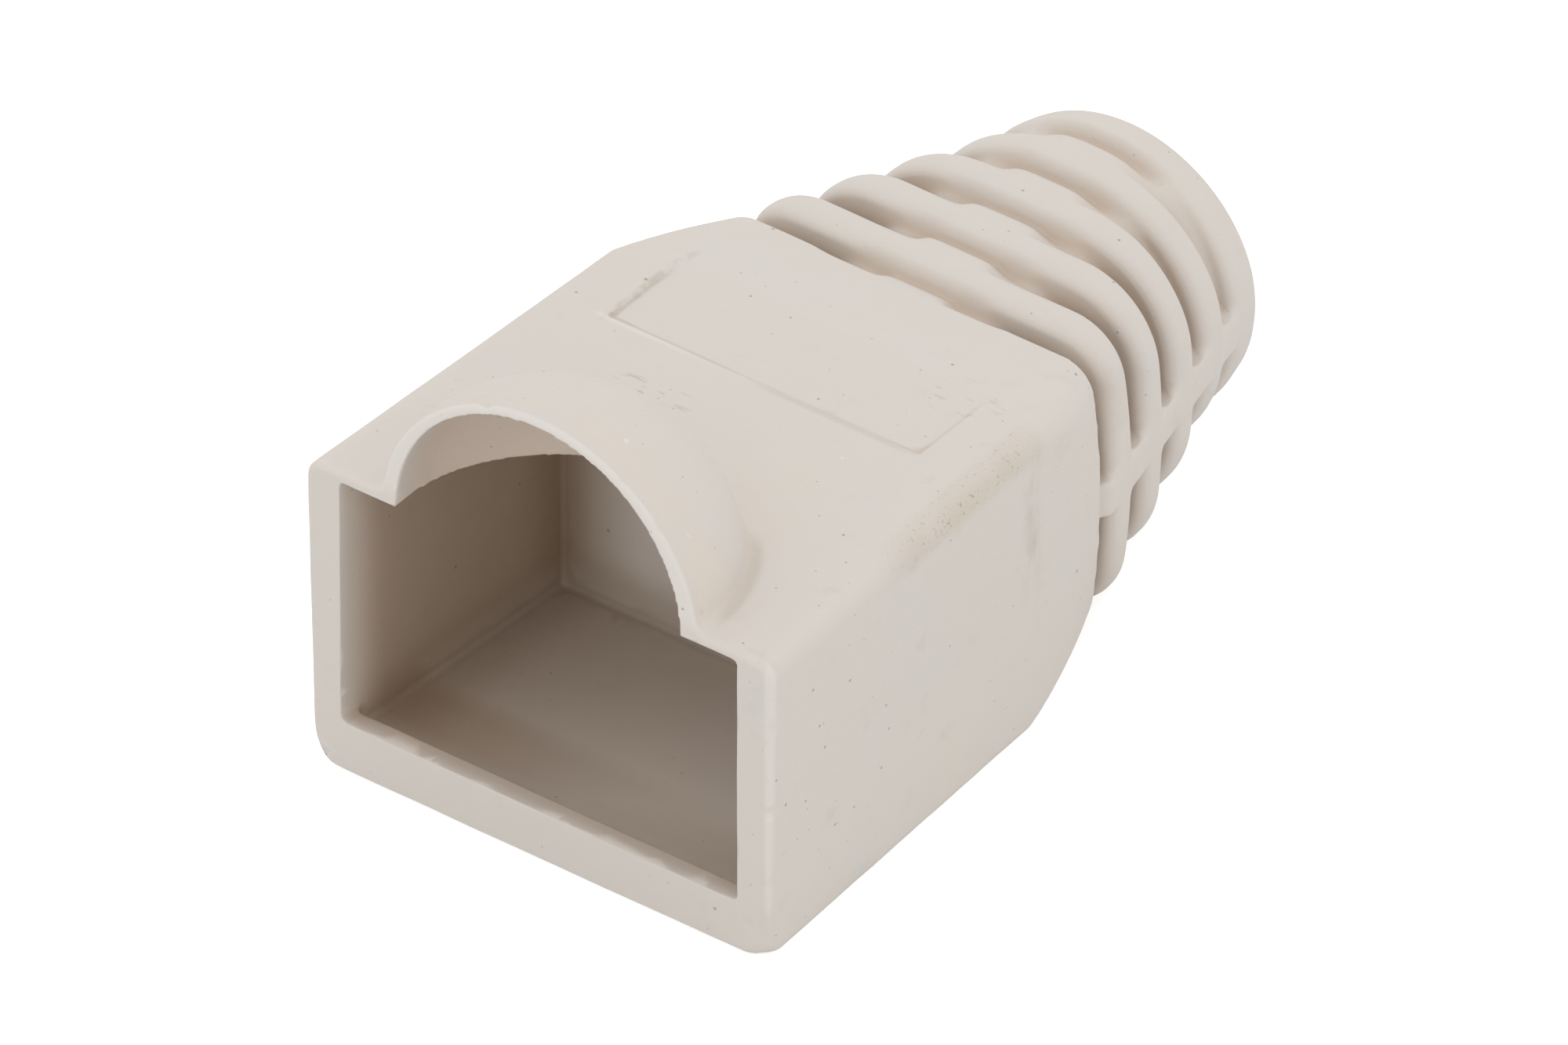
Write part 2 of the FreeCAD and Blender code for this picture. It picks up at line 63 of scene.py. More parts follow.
MOUTH_Y = cad_low.y / MM
print("CAD box in mm:", [round(side / MM, 3) for side in cad_high - cad_low])

# %% [markdown]
# ## The moulding's skin
# A steel mould is cut with small radii, and soft PVC rounds them further as it shrinks.
# A Bevel modifier could round the CAD mesh, but its long thin triangles tear at corners.
# A voxel remesh gives one even net of small quads over walls, grooves and pocket alike,
# and smoothing that net softens every edge by the same small amount, as shrinkage does.


# %% Select one object only
def pick(thing):
    """Leaves only thing selected, and makes it the active object."""
    bpy.ops.object.select_all(action="DESELECT")
    bpy.context.view_layer.objects.active = thing
    thing.select_set(True)


# %% Copy the CAD solid and close its seams
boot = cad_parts["boot"]
skin = bpy.data.objects.new("soft_moulding", boot.data.copy())
bpy.context.scene.collection.objects.link(skin)
pick(skin)
bpy.ops.object.mode_set(mode="EDIT")
bpy.ops.mesh.select_all(action="SELECT")
bpy.ops.mesh.remove_doubles(threshold=0.001 * MM)
bpy.ops.object.mode_set(mode="OBJECT")
print("merged copy:", len(skin.data.vertices), "vertices")


# %% Add a modifier, set it and apply it
def finish_with(thing, kind, **settings):
    """Runs one modifier on thing and makes its result the mesh."""
    pick(thing)
    bpy.ops.object.modifier_add(type=kind)
    modifier = thing.modifiers[-1]
    for name, setting in settings.items():
        setattr(modifier, name, setting)
    bpy.ops.object.modifier_apply(modifier=modifier.name)
    print(kind.lower(), "->", len(thing.data.polygons), "faces")


# %% An even net of small quads
NET = 0.07 * MM
finish_with(skin, "REMESH", mode="VOXEL", voxel_size=NET)

# %% Soften every edge a little
finish_with(skin, "SMOOTH", factor=0.5, iterations=2)

# %% [markdown]
# ## Where the shape flows
# The ribs run into their webs in long soft curves, and the hood melts into the top behind it.
# One even smoothing strong enough for that would also blunt the mouth.
# So each soft place gets a vertex group, strongest in its middle and fading out around it,
# and a Smooth modifier works through that group only.


# %% Read and write points in millimetres
def points_of(thing):
    """The piece's points as rows of x, y and z in millimetres."""
    flat = np.empty(3 * len(thing.data.vertices))
    thing.data.vertices.foreach_get("co", flat)
    return flat.reshape(-1, 3) / MM


def put_points(thing, points):
    """Puts rows of x, y and z in millimetres back into the piece."""
    thing.data.vertices.foreach_set("co", (points * MM).ravel())
    thing.data.update()


# %% Fade from 1 to 0
def fade(distance, width):
    """1 where the distance is nought or less, falling smoothly to 0 at the width."""
    share = np.clip(1 - distance / width, 0, 1)
    return share * share * (3 - 2 * share)


# %% Smooth one place, by weight
def soften(thing, name, weight, iterations):
    """Smooths thing where the weight array says, in ten steps of strength."""
    group = thing.vertex_groups.new(name=name)
    steps = np.round(weight * 10).astype(int)
    for step in range(1, 11):
        chosen = np.nonzero(steps == step)[0].tolist()
        group.add(chosen, step / 10, "REPLACE")
    finish_with(thing, "SMOOTH", factor=0.5, iterations=iterations, vertex_group=name)
    print("softened", name, "at", int((steps > 0).sum()), "points")


# %% The hood's back
HOOD_FOOT = Vector((0, MOUTH_Y + 0.6, 8.98))
HOOD_REACH = 4.77
BELOW_TOP = 8.6
x, y, z = points_of(skin).T
around = np.hypot(x, np.maximum(y - HOOD_FOOT.y, 0))
near_foot = np.abs(around - HOOD_REACH) + 1.2 * np.abs(z - HOOD_FOOT.z)
behind = fade(5.0 - (y - MOUTH_Y), 1.6)
soften(skin, "hood_back", fade(near_foot - 0.35, 0.9) * behind * (z > BELOW_TOP), 60)

# %% [markdown]
# ## The grooves between the ribs
# A strain relief bends because its wall is cut by grooves, and it stays in one piece because
# webs on top and below and a spine along each flank tie the ribs together.
# On the real part the spines lie flush with the ribs, and the webs' ends run out slowly.
# Each rib's outline is a rounded box that turns round along the tail, so a point's depth under
# that outline is a short formula. A share of that depth is taken away by lifting the point
# straight out: nearly all of it on a spine, most of it on a web, and a little everywhere else.

# %% Where the tail and its ribs are
TAIL_START = MOUTH_Y + 14.86
TAIL_AXIS = 4.47
SPINE_HEIGHT = 4.32
PITCH = 1.8
BORE_CLEAR = 3.05
GROOVES_FROM, GROOVES_TO = 15.3, 22.6
FIRST_RIB = 16.0
HALF_WIDTH, WIDTH_LOSS = 5.66, 0.228
HALF_HEIGHT = 4.08
CORNER, CORNER_GAIN = 1.62, 0.433
print("ribs every", PITCH, "mm from", FIRST_RIB, "mm behind the mouth")


# %% How far a point lies under the ribs' outline, and which way is out
def under_outline(points):
    """Each point's depth under the ribs' outline, and its way out across the tail."""
    x, z = points[:, 0], points[:, 2] - TAIL_AXIS
    from_first = points[:, 1] - MOUTH_Y - FIRST_RIB
    half = HALF_WIDTH - WIDTH_LOSS * from_first
    corner = np.clip(CORNER + CORNER_GAIN * from_first, 0.5, 3.9)
    # How far each point is past the heart of its corner's circle, sideways and upwards.
    over = np.stack([np.abs(x) - half + corner, np.abs(z) - HALF_HEIGHT + corner], axis=1)
    reach = np.linalg.norm(np.maximum(over, 0), axis=1)
    depth = corner - reach - np.minimum(over.max(axis=1), 0)
    # In a corner the way out is along its circle's radius, and elsewhere through the nearest wall.
    nearest = over == over.max(axis=1)[:, None]
    out = np.maximum(over, 1e-6 * nearest)
    out /= np.linalg.norm(out, axis=1)[:, None]
    return depth, out * np.sign(np.stack([x, z], axis=1))


# %% Lift the spines and the webs to the ribs
SPINE_LIFT, WEB_LIFT, FLANK_LIFT, TOP_LIFT = 0.95, 0.72, 0.22, 0.12
points = points_of(skin)
x, y, z = points.T
along = y - MOUTH_Y
depth, out = under_outline(points)
outer_skin = np.hypot(x, z - TAIL_AXIS) > BORE_CLEAR
in_grooves = fade(GROOVES_FROM - along, 0.3) * fade(along - GROOVES_TO, 0.4) * outer_skin
spine_share = SPINE_LIFT * fade(np.abs(z - SPINE_HEIGHT) - 0.45, 0.30)
web_share = WEB_LIFT * fade(np.abs(x) - 0.4, 1.9)
floor_share = FLANK_LIFT + TOP_LIFT * np.abs(out[:, 1])
share = np.maximum(np.maximum(spine_share, web_share), floor_share)
lift = np.maximum(depth - 0.03, 0) * share * in_grooves
points[:, 0] += lift * out[:, 0]
points[:, 2] += lift * out[:, 1]
put_points(skin, points)
print("lifted the tail's skin by up to", round(float(lift.max()), 2), "mm")

# %% Soften where the webs and the spines run into the ribs
behind_socket = fade(TAIL_START - 0.05 - y, 0.4) * outer_skin
near_web = fade(np.abs(x) - 2.2, 0.8) * (np.abs(z - TAIL_AXIS) > 3.0)
near_spine = fade(np.abs(z - SPINE_HEIGHT) - 0.5, 0.4)
soften(skin, "webs", near_web * behind_socket, 36)
soften(skin, "spines", near_spine * behind_socket, 16)

# %% [markdown]
# ## The creases across the webs
# The webs along the top and the bottom don't fill the grooves: each one falls away slowly
# behind a rib and meets the next rib in a shallow crease.
# A crease is too soft for an edge in the drawing. Here the skin is pressed in along it,
# with a long slope on one side and a short one on the other, and smoothed afterwards.

# %% Press in the creases
GROOVES = [MOUTH_Y + 15.22 + PITCH * number for number in range(5)]
CREASE_DEPTH = 0.42
CREASE_BEHIND = 0.18
LONG_SLOPE, SHORT_SLOPE = 0.30, 0.15
points = points_of(skin)
from_axis = points[:, 2] - TAIL_AXIS
on_web = fade(np.abs(points[:, 0]) - 0.9, 1.4)
top_or_bottom = np.sign(from_axis) * (np.abs(from_axis) > 3.4)
for groove in GROOVES:
    off = points[:, 1] - groove - CREASE_BEHIND
    slope = np.exp(-np.square(off / np.where(off < 0, LONG_SLOPE, SHORT_SLOPE)))
    points[:, 2] -= CREASE_DEPTH * on_web * top_or_bottom * slope
put_points(skin, points)
print("creases at", [round(groove, 2) for groove in GROOVES])

# %% Soften the whole tail a little
near_tail = fade(TAIL_START - 0.2 - points[:, 1], 0.6) * outer_skin
soften(skin, "tail", near_tail, 5)

# %% [markdown]
# ## What the mould and the years did to the shape
# No moulded wall is dead flat: it sinks a little where it was thick and hot.
# A Displace modifier with a Clouds texture gives that, and its middle level is set so that
# it only pushes inwards and the boot never grows past its drawing.
# The mouth has its own marks: one foot corner is rounder than the other, the arch has a nick
# where the mould halves met, and its lip was trimmed by hand. Those are pushed in point by point.

# %% Sunken walls
SINK = 0.03 * MM
sinks = bpy.data.textures.new("sinks", "CLOUDS")
sinks.noise_scale = 2.6 * MM
sinks.noise_depth = 1
finish_with(skin, "DISPLACE", texture=sinks, texture_coords="LOCAL", strength=SINK, mid_level=1.0)

# %% The rounder foot of the mouth
SIDE_X = 6.86
FOOT_WIDE, FOOT_TALL = 0.95, 1.7
points = points_of(skin)
heart = Vector((-SIDE_X + FOOT_WIDE, FOOT_TALL))
off_x, off_z = points[:, 0] - heart.x, points[:, 2] - heart.y
outward = np.hypot(off_x / FOOT_WIDE, off_z / FOOT_TALL)
in_corner = (off_x < 0) & (off_z < 0) & (outward > 1)
share = fade(points[:, 1] - MOUTH_Y - 0.5, 2.5) * in_corner
shrink = 1 + share * (1 / np.maximum(outward, 1) - 1)
points[:, 0] = heart.x + off_x * shrink
points[:, 2] = heart.y + off_z * shrink
print("rounded the left foot over", int((share > 0).sum()), "points")

# %% The rounded front end of the right lower edge
END_RADIUS = 0.70
heart = Vector((SIDE_X - END_RADIUS, MOUTH_Y + END_RADIUS))
off_x, off_y = points[:, 0] - heart.x, points[:, 1] - heart.y
outward = np.hypot(off_x, off_y)
in_corner = (off_x > 0) & (off_y < 0) & (outward > END_RADIUS)
share = fade(points[:, 2] - 0.5, 1.3) * in_corner
shrink = 1 + share * (END_RADIUS / np.maximum(outward, END_RADIUS) - 1)
points[:, 0] = heart.x + off_x * shrink
points[:, 1] = heart.y + off_y * shrink
print("rounded the right edge's end over", int((share > 0).sum()), "points")

# %% The same corner, rounded from below
BALL_RADIUS = 0.40
off_x, off_y = points[:, 0] - heart.x, points[:, 1] - heart.y
outward = np.hypot(off_x, off_y)
off_r, off_z = outward - (END_RADIUS - BALL_RADIUS), points[:, 2] - BALL_RADIUS
past = np.hypot(off_r, off_z)
in_corner = (off_x > 0) & (off_y < 0) & (off_r > 0) & (off_z < 0) & (past > BALL_RADIUS)
# 1 half-way round the corner, and 0 where it meets the straight edges.
middle = 2 * np.abs(off_x * off_y) / np.maximum(outward, 0.01) ** 2
share = middle * in_corner
shrink = 1 + share * (BALL_RADIUS / np.maximum(past, BALL_RADIUS) - 1)
inward = (END_RADIUS - BALL_RADIUS + off_r * shrink) / np.maximum(outward, 0.01)
points[:, 0] = np.where(in_corner, heart.x + off_x * inward, points[:, 0])
points[:, 1] = np.where(in_corner, heart.y + off_y * inward, points[:, 1])
points[:, 2] = np.where(in_corner, BALL_RADIUS + off_z * shrink, points[:, 2])
print("and from below over", int(in_corner.sum()), "points")

# %% A bead along the arch, left by a shallow dip behind its rim
ARCH_HEART = 8.41
RIM_WIDTH = 0.34
DIP_DEPTH, DIP_WIDTH = 0.035, 0.14
from_arch = np.hypot(points[:, 0], points[:, 2] - ARCH_HEART)
behind_rim = points[:, 1] - MOUTH_Y - RIM_WIDTH
outside_arch = (from_arch > 4.5) * (points[:, 2] > 9.3)
dip = DIP_DEPTH * np.exp(-np.square(behind_rim / DIP_WIDTH)) * outside_arch
points[:, 0] *= 1 - dip / np.maximum(from_arch, 1)
points[:, 2] -= dip * (points[:, 2] - ARCH_HEART) / np.maximum(from_arch, 1)
print("dip behind the rim:", round(float(dip.max()), 3), "mm")


# %% Press dents into the skin
def dent(points, centre, reach, push):
    """Moves the points round a centre by the push, most in the middle and none past the reach."""
    away = np.linalg.norm((points - np.array(centre)) / np.array(reach), axis=1)
    points += fade(away, 1.0)[:, None] * np.array(push)


# %% Nicks and trimming marks round the mouth
dent(points, (-1.61, MOUTH_Y, 12.92), (0.30, 0.35, 0.30), (0.03, 0.05, -0.09))
dent(points, (2.55, MOUTH_Y, 12.45), (0.22, 0.25, 0.22), (-0.03, 0.03, -0.04))
dent(points, (3.65, MOUTH_Y, 11.55), (0.30, 0.25, 0.30), (-0.05, 0.03, -0.03))
dent(points, (6.95, MOUTH_Y, 4.55), (0.30, 0.40, 0.28), (-0.09, 0.07, 0))
dent(points, (6.30, MOUTH_Y, 0.95), (0.25, 0.20, 0.20), (0, 0.04, 0.02))
dent(points, (-3.10, MOUTH_Y, 1.54), (0.22, 0.12, 0.10), (0, 0.02, -0.02))
dent(points, (0.80, MOUTH_Y, 1.54), (0.30, 0.12, 0.10), (0, 0.02, -0.015))
put_points(skin, points)
print("dented a skin of", len(points), "points")

# %% Blend the reshaped corners in
x, y, z = points.T
left_foot = fade(x + 5.6, 0.4) * fade(z - 1.9, 0.4) * fade(y - MOUTH_Y - 2.5, 1.0)
right_end = fade(5.7 - x, 0.4) * fade(z - 1.5, 0.6) * fade(y - MOUTH_Y - 0.8, 0.4)
soften(skin, "corners", np.maximum(left_foot, right_end), 6)

# %% [markdown]
# ## Keep the net light
# Walls that are nearly flat don't need a fine net, and curves do.
# Decimate in its collapse mode takes points away where the shape changes least.

# %% Thin the net where the surface is flat
MOST_TRIANGLES = 190000
triangles = sum(len(face.vertices) - 2 for face in skin.data.polygons)
finish_with(skin, "DECIMATE", ratio=min(1.0, MOST_TRIANGLES / triangles))
pick(skin)
bpy.ops.object.shade_smooth()
skin.vertex_groups.clear()

# %% [markdown]
# ## Where edges stand proud and hollows sink
# The material paints highlights on raised edges and shade in hollows, and makes raised edges smoother.
# To know which is which, the piece is compared with a blurred copy of itself: a point that
# stands proud of the blur is an edge, and one that lies under it is a hollow.
# The difference is stored on the piece as an attribute, which its material reads.


# %% Store one number for each point of the skin
def keep(name, values):
    """Stores the values on the skin as an attribute, and prints how they are spread."""
    attribute = skin.data.attributes.new(name, "FLOAT", "POINT")
    attribute.data.foreach_set("value", values)
    print(name, "at every tenth:", np.percentile(values, range(0, 101, 10)).round(3))


# %% Compare the skin with a blurred copy
blur = bpy.data.objects.new("blur", skin.data.copy())
bpy.context.scene.collection.objects.link(blur)
finish_with(blur, "SMOOTH", factor=0.5, iterations=14)
normals = np.empty(3 * len(skin.data.vertices))
skin.data.vertices.foreach_get("normal", normals)
proud = np.einsum("ij,ij->i", points_of(skin) - points_of(blur), normals.reshape(-1, 3))
bpy.data.objects.remove(blur)
keep("relief", proud)

# %% Store how deep each point of the grooves lies
points = points_of(skin)
depth = under_outline(points)[0]
from_bore = np.hypot(points[:, 0], points[:, 2] - TAIL_AXIS)
in_grooves = (points[:, 1] > TAIL_START) & (from_bore > BORE_CLEAR)
keep("sunk", depth * in_grooves)

# %% [markdown]
# ## Soft PVC
# The finish of this boot is a fine satin: the steel was blasted, so the plastic has no mirror
# to it, only a wide soft sheen. Its grey is warm, and it is never one grey.
# The material is built in layers, as the part met them: the plastic and its faint clouding,
# then painted warm shade, then painted highlights on edges, then dirt, more painted shade and specks,
# and the bump last.
# Every pattern reads Object coordinates turned into millimetres, so it stays on the part.

# %% Start the material
plastic = bpy.data.materials.new("soft_pvc")
plastic.use_nodes = True
tree = plastic.node_tree
shader = tree.nodes["Principled BSDF"]
print("material", plastic.name)

# %% [markdown]
# ## A material as a line of sums
# A node tree is a formula drawn as boxes, and box by box it would be long and hard to read.
# So a few short functions each add one box, and a mask then reads as one line of sums.
# Every mask is 1 where a finish lies and 0 where it doesn't, with a soft edge between.


# %% Add a node and feed its sockets
def node(kind, **settings):
    """A new node of the material being built."""
    made = tree.nodes.new("ShaderNode" + kind)
    for name, setting in settings.items():
        setattr(made, name, setting)
    return made


def join(source, socket):
    """Feeds a socket from a node's output, or sets it to a plain value."""
    if isinstance(source, bpy.types.NodeSocket):
        tree.links.new(source, socket)
    else:
        socket.default_value = source


# %% Sums and fades
def maths(operation, first, second=0.0):
    """One Math node's result."""
    made = node("Math", operation=operation)
    join(first, made.inputs[0])
    join(second, made.inputs[1])
    return made.outputs[0]


def ramp(source, start, end, low=0.0, high=1.0):
    """A smooth change from low at start to high at end."""
    made = node("MapRange", interpolation_type="SMOOTHSTEP")
    for socket, setting in zip(made.inputs[:5], (source, start, end, low, high)):
        join(setting, socket)
    return made.outputs[0]


# %% Masks out of masks
def both(*masks):
    """The product of several masks."""
    result = masks[0]
    for mask in masks[1:]:
        result = maths("MULTIPLY", result, mask)
    return result


def without(mask):
    """Everywhere that a mask is not."""
    return maths("SUBTRACT", 1.0, mask)


def band(source, middle, half, edge):
    """1 within half of the middle, fading to 0 over the edge."""
    return ramp(maths("ABSOLUTE", maths("SUBTRACT", source, middle)), half + edge, half)


def distance(*offsets):
    """How far a point is from a centre, by its offsets at right angles to each other."""
    total = maths("POWER", offsets[0], 2)
    for offset in offsets[1:]:
        total = maths("ADD", total, maths("POWER", offset, 2))
    return maths("SQRT", total)


def beyond(source, start):
    """How far the source is past the start, and 0 before it."""
    return maths("MAXIMUM", maths("SUBTRACT", source, start), 0.0)


# %% Colours over colours
def colour(red, green, blue):
    """An opaque colour."""
    return (red, green, blue, 1)


def layer(under, over, mask):
    """One colour laid over another through a mask."""
    made = node("Mix", data_type="RGBA")
    # A Mix node's colour sockets come after those for numbers and vectors.
    under_socket, over_socket = made.inputs[6:8]
    join(mask, made.inputs["Factor"])
    join(under, under_socket)
    join(over, over_socket)
    return made.outputs[2]


def count(title):
    """Says how many nodes the material has so far."""
    print(title, "->", len(tree.nodes), "nodes")


# %% Places on the part, in millimetres
# Across runs from left to right, along from the mouth to the tail, and height from the floor up.
enlarged = node("VectorMath", operation="SCALE")
join(node("TexCoord").outputs["Object"], enlarged.inputs[0])
join(1 / MM, enlarged.inputs["Scale"])
place = enlarged.outputs[0]
axes = node("SeparateXYZ")
join(place, axes.inputs[0])
across, along, height = axes.outputs
along = maths("SUBTRACT", along, MOUTH_Y)
aside = maths("ABSOLUTE", across)
count("places")


# %% Noise on those places
def moved_by(vector, step):
    """The same places, all moved by one step."""
    moved = node("VectorMath", operation="ADD")
    join(vector, moved.inputs[0])
    join(step, moved.inputs[1])
    return moved.outputs[0]


def noise(per_mm, detail=2.0, rough=0.5, stretch=(1, 1, 1), seed=0.0):
    """Noise with so many waves in a millimetre, drawn out along the axes by the stretch."""
    drawn = node("VectorMath", operation="DIVIDE")
    join(place, drawn.inputs[0])
    join(stretch, drawn.inputs[1])
    made = node("TexNoise")
    join(moved_by(drawn.outputs[0], (17.0 * seed, 5.0 * seed, 11.0 * seed)), made.inputs["Vector"])
    join(per_mm, made.inputs["Scale"])
    join(detail, made.inputs["Detail"])
    join(rough, made.inputs["Roughness"])
    return made.outputs["Fac"]


# %% The plastic and its clouding
GREY = colour(0.772, 0.713, 0.654)
WARM = colour(0.779, 0.717, 0.650)
COOL = colour(0.756, 0.715, 0.668)
CLOUDY = colour(0.70, 0.66, 0.63)
paint = layer(GREY, WARM, ramp(noise(0.28, 3, seed=1), 0.45, 0.72))
paint = layer(paint, COOL, ramp(noise(0.33, 3, seed=2), 0.50, 0.74))
paint = layer(paint, CLOUDY, both(ramp(noise(1.6, 4, 0.6, seed=3), 0.55, 0.80), 0.35))
count("plastic and clouding")

# %% [markdown]
# ## The inside of the mouth
# The pocket sees little light, and what comes in has bounced off warm grey walls, so it is
# darker and browner than the outside. White paper on all sides would wash that shade out.
# So the inner walls get painted shade, warm and dark, that deepens on the way in, towards the left
# and in the corners. It is left off the part of the back wall that the open mouth lights.

# %% Where the inside is
ROOM_HALF = 6.0
ROOM_TOP = 8.70
inside_box = both(
    ramp(aside, ROOM_HALF + 0.3, ROOM_HALF + 0.1),
    ramp(height, ROOM_TOP + 0.05, ROOM_TOP - 0.05),
    ramp(height, 0.50, 0.65),
    ramp(along, 8.8, 8.6),
)
count("inside box")

# %% The shade on the inner walls
INNER_SHADE = colour(0.43, 0.335, 0.255)
deep = ramp(along, 0.0, 1.7)
towards_left = maths("MAXIMUM", ramp(across, 5.0, -5.8, 0.30, 1.0), ramp(along, 4.5, 1.5, 0.0, 0.6))
floor_light = maths("MAXIMUM", ramp(height, 1.2, 2.0, 0.70, 1.0), ramp(along, 5.0, 2.5, 0.0, 1.0))
lit_wall = both(
    ramp(along, 7.75, 8.05), ramp(across, -5.6, -2.8), ramp(height, 0.9, 2.8), 0.97,
)
shaded = both(inside_box, deep, towards_left, floor_light, without(lit_wall))
paint = layer(paint, INNER_SHADE, shaded)
count("inner shade")

# %% Painted warm shade near the mouth and painted dark shade in the corners
MOUTH_SHADE = colour(0.62, 0.48, 0.36)
CORNER_SHADE = colour(0.27, 0.18, 0.115)
near_mouth = both(ramp(along, 0.0, 0.4), ramp(along, 2.4, 1.0), ramp(across, -5.0, -5.8))
# Painted warm shade on the left wall near the mouth.
paint = layer(paint, MOUTH_SHADE, both(inside_box, near_mouth, 0.25))
back_corner = both(ramp(across, -4.4, -5.5), ramp(along, 6.2, 8.0))
floor_corner = both(ramp(across, -3.6, -5.6), ramp(height, 2.6, 1.0), ramp(along, 0.6, 2.0))
corners = maths("MAXIMUM", back_corner, floor_corner)
paint = layer(paint, CORNER_SHADE, both(inside_box, corners, 0.4))
count("corners")

# %% The top of the sill
SILL_TOP = 1.50
SILL_SHADE = colour(0.56, 0.44, 0.345)
on_top = both(band(height, SILL_TOP, 0.10, 0.08), ramp(along, 0.0, 0.40), ramp(along, 1.0, 0.8))
paint = layer(paint, SILL_SHADE, both(inside_box, on_top, 0.55))
count("sill")

# %% The hollow under the hood
HOLLOW_HEART = 8.68
HOLLOW_RADIUS = 4.28
HOLLOW_SHADE = colour(0.69, 0.52, 0.39)
above_heart = maths("SUBTRACT", height, HOLLOW_HEART)
arch = distance(across, above_heart)
hollow = distance(across, above_heart, beyond(along, 0.5))
in_hollow = ramp(hollow, HOLLOW_RADIUS + 0.08, HOLLOW_RADIUS)
under_hood = both(in_hollow, ramp(height, ROOM_TOP - 0.05, ROOM_TOP + 0.05))
paint = layer(paint, HOLLOW_SHADE, both(under_hood, ramp(along, 0.05, 1.2), 0.42))
count("under the hood")

# %% [markdown]
# ## Hollows and raised edges
# Here the two attributes do their work. A hollow gets painted warm shade, a groove gets painted
# shade that deepens with its depth, and a raised edge gets a painted highlight, so one rule finds
# every edge of the part.
# Each edge could be marked by hand instead, but a rule can't forget one.

# %% The pocket's inner corners
POCKET_CORNER_SHADE = colour(0.22, 0.145, 0.09)
raised = node("Attribute", attribute_name="relief").outputs["Fac"]
box_corners = both(inside_box, ramp(raised, -0.004, -0.020), ramp(along, 0.8, 1.6))
# Painted shade darkens the hollows of the pocket's inner corners.
paint = layer(paint, POCKET_CORNER_SHADE, both(box_corners, 0.24))
count("inner corners")

# %% Painted warm shade in the hollows outside
OUTER_HOLLOW_SHADE = colour(0.60, 0.48, 0.38)
on_sill = both(ramp(aside, 6.2, 6.0), band(height, 1.45, 0.2, 0.1))
inner = maths("MAXIMUM", maths("MAXIMUM", inside_box, on_sill), under_hood)
outside = without(inner)
# Painted warm shade in the hollows outside the pocket.
paint = layer(paint, OUTER_HOLLOW_SHADE, both(ramp(raised, -0.004, -0.030), outside, 0.5))
count("outer hollows")

# %% The grooves, darker with their depth and lit from above
GROOVE_SHADE = colour(0.50, 0.395, 0.305)
GROOVE_LIGHT = colour(0.82, 0.72, 0.62)
sunk_in = node("Attribute", attribute_name="sunk").outputs["Fac"]
groove_shade = both(ramp(height, 8.6, 7.2, 0.15, 0.55), ramp(along, GROOVES_TO, 21.8, 0.2, 1.0))
paint = layer(paint, GROOVE_SHADE, both(ramp(sunk_in, 0.08, 0.60), groove_shade))
groove_light = both(ramp(sunk_in, 0.25, 0.60), ramp(height, 7.4, 8.1), 0.5)
paint = layer(paint, GROOVE_LIGHT, groove_light)
count("grooves")

# %% The creases across the webs
CREASE_SHADE = colour(0.56, 0.45, 0.355)
between = maths("FLOORED_MODULO", maths("SUBTRACT", along, 14.50), PITCH)
from_axis = maths("ABSOLUTE", maths("SUBTRACT", height, TAIL_AXIS))
web_crease = both(
    band(between, 0.84, 0.04, 0.24), ramp(aside, 2.6, 1.0),
    ramp(from_axis, 3.2, 3.5), ramp(along, 15.0, GROOVES_FROM),
)
paint = layer(paint, CREASE_SHADE, both(web_crease, 0.34))
count("web creases")

# %% Painted highlights on raised edges, on the arch's front face and along the right lip
EDGE_HIGHLIGHT = colour(0.86, 0.81, 0.76)
ARCH_FACE_HIGHLIGHT = colour(0.86, 0.81, 0.755)
# Painted highlights on the raised edges outside the pocket.
paint = layer(paint, EDGE_HIGHLIGHT, both(ramp(raised, 0.012, 0.05), outside, 0.6))
arch_face = both(ramp(along, 0.14, 0.08), ramp(arch, 4.15, 4.22), ramp(height, 8.7, 9.4))
paint = layer(paint, ARCH_FACE_HIGHLIGHT, both(arch_face, 0.8))
right_lip = both(ramp(along, 0.30, 0.10), band(across, 6.92, 0.06, 0.14), ramp(height, 0.2, 0.6), 0.65)
# A painted highlight along the right lip.
paint = layer(paint, EDGE_HIGHLIGHT, right_lip)
count("pale edges")

# %% [markdown]
# ## Marks of handling
# Grime, a dried run of water, dust, rub marks and some painted shade and highlights each lie in one
# place and have one texture.
# So each is a mask for the place times a noise for the texture. A painted image could hold
# them too, but it would need a file, and it would blur when seen close.

# %% Painted shade in the crease at the hood's right foot
HOOD_CREASE_SHADE = colour(0.58, 0.49, 0.40)
foot = distance(across, beyond(along, 0.6))
crease = both(
    band(foot, 4.86, 0.04, 0.26), band(along, 2.3, 1.1, 0.9),
    ramp(across, 1.5, 3.4), ramp(height, 8.85, 8.92),
)
# Painted shade along the crease where the hood meets the top.
paint = layer(paint, HOOD_CREASE_SHADE, both(crease, 0.5))
count("hood crease shade")

# %% Warm skin behind the arch's rim
RIM_COLOUR = colour(0.80, 0.715, 0.625)
rim_place = both(
    ramp(arch, 4.4, 4.6), ramp(height, 8.9, 9.2), ramp(along, 0.15, 0.35), ramp(along, 2.2, 0.7),
)
rim_cloud = ramp(noise(0.8, 2, seed=4), 0.3, 0.6)
paint = layer(paint, RIM_COLOUR, both(rim_place, rim_cloud, 0.7))
count("rim warmth")

